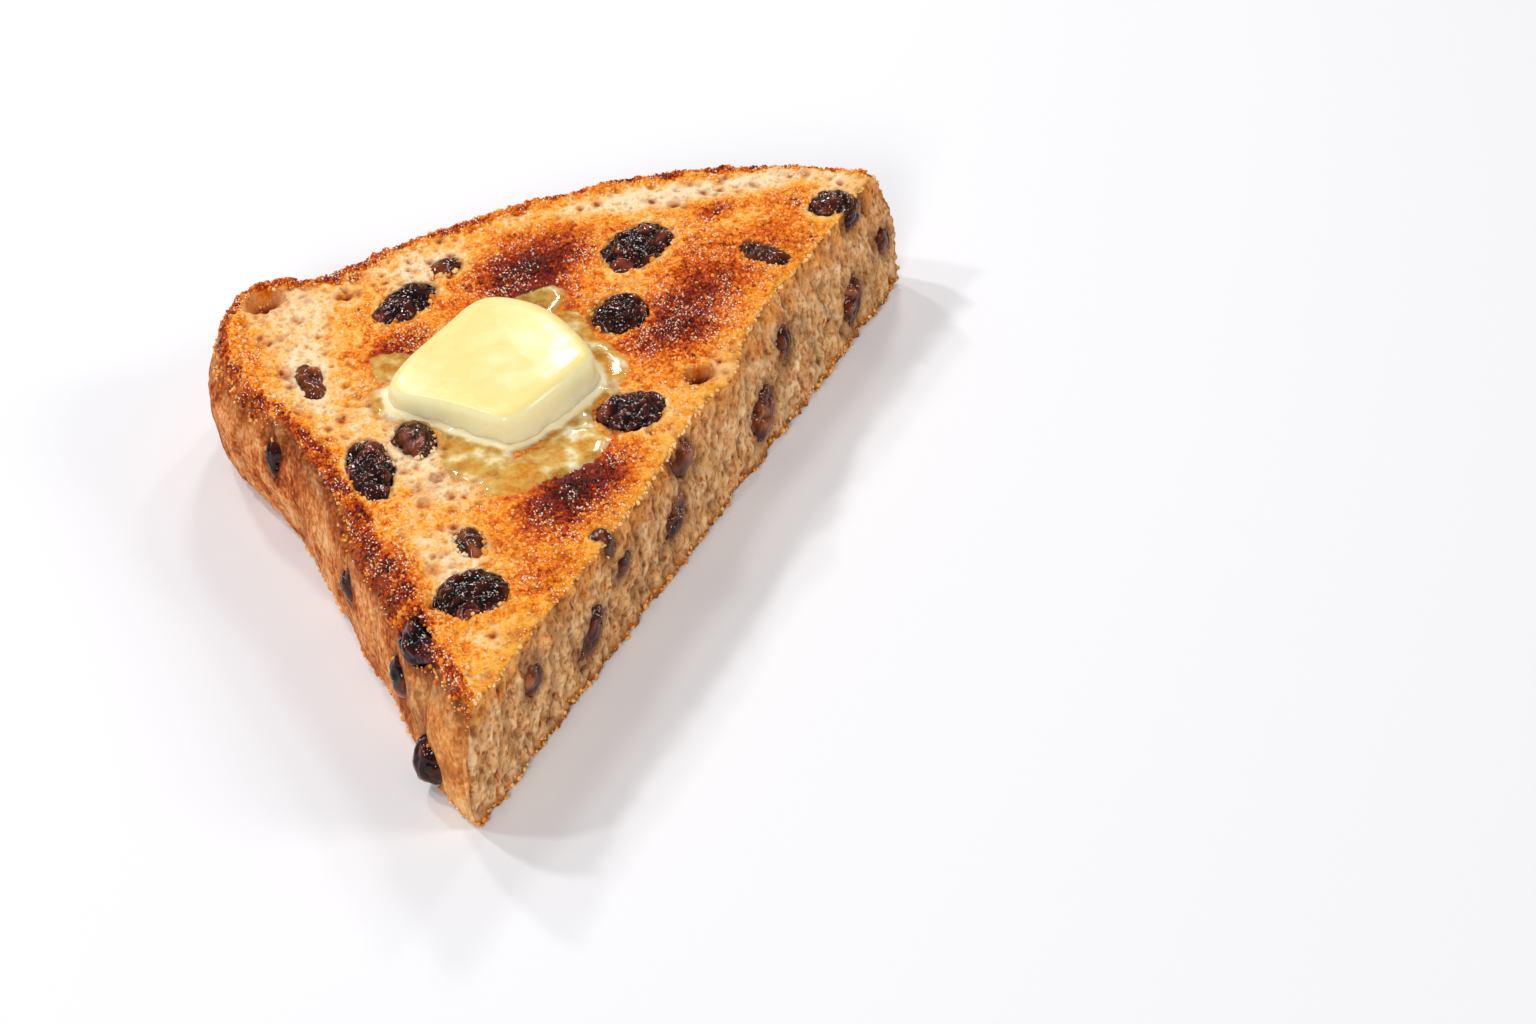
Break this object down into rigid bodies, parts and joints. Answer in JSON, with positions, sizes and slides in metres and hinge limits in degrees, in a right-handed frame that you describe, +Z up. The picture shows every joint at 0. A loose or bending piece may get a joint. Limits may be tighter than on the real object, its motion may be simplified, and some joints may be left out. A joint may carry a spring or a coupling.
{
  "type": "buttered raisin toast half",
  "caption": "Diagonal half slice of toasted raisin bread, browned on top, with a softened pat of butter melting into it.",
  "frame": {"origin": "middle of the bounding box of the half slice, on the surface that it rests on", "axes": "+Z up, out of the toasted face; +X along the loaf's base towards the cut's far end; +Y towards the domed crown"},
  "size_m": [0.1131, 0.1081, 0.0255],
  "materials": {
    "toasted_bread": "toasted crumb and baked crust, matte, with buttery patches",
    "raisin_skin": "wrinkled dried fruit, glossy",
    "butter": "soft butter, satin to glossy, slightly translucent"
  },
  "bodies": {
    "root": {"bread": "toasted_bread", "butter_pat": "butter", "raisin_back_01": "raisin_skin", "raisin_back_02": "raisin_skin", "raisin_back_03": "raisin_skin", "raisin_back_04": "raisin_skin", "raisin_base_01": "raisin_skin", "raisin_base_02": "raisin_skin", "raisin_base_03": "raisin_skin", "raisin_base_04": "raisin_skin", "raisin_base_05": "raisin_skin", "raisin_crust_01": "raisin_skin", "raisin_crust_02": "raisin_skin", "raisin_crust_03": "raisin_skin", "raisin_crust_04": "raisin_skin", "raisin_cut_01": "raisin_skin", "raisin_cut_02": "raisin_skin", "raisin_cut_03": "raisin_skin", "raisin_cut_04": "raisin_skin", "raisin_cut_05": "raisin_skin", "raisin_cut_06": "raisin_skin", "raisin_cut_07": "raisin_skin", "raisin_cut_08": "raisin_skin", "raisin_cut_09": "raisin_skin", "raisin_cut_10": "raisin_skin", "raisin_rim": "raisin_skin", "raisin_top_01": "raisin_skin", "raisin_top_02": "raisin_skin", "raisin_top_03": "raisin_skin", "raisin_top_04": "raisin_skin", "raisin_top_05": "raisin_skin", "raisin_top_06": "raisin_skin", "raisin_top_07": "raisin_skin", "raisin_top_08": "raisin_skin", "raisin_top_09": "raisin_skin", "raisin_top_10": "raisin_skin", "raisin_top_11": "raisin_skin", "raisin_top_12": "raisin_skin"}
  },
  "joints": []
}
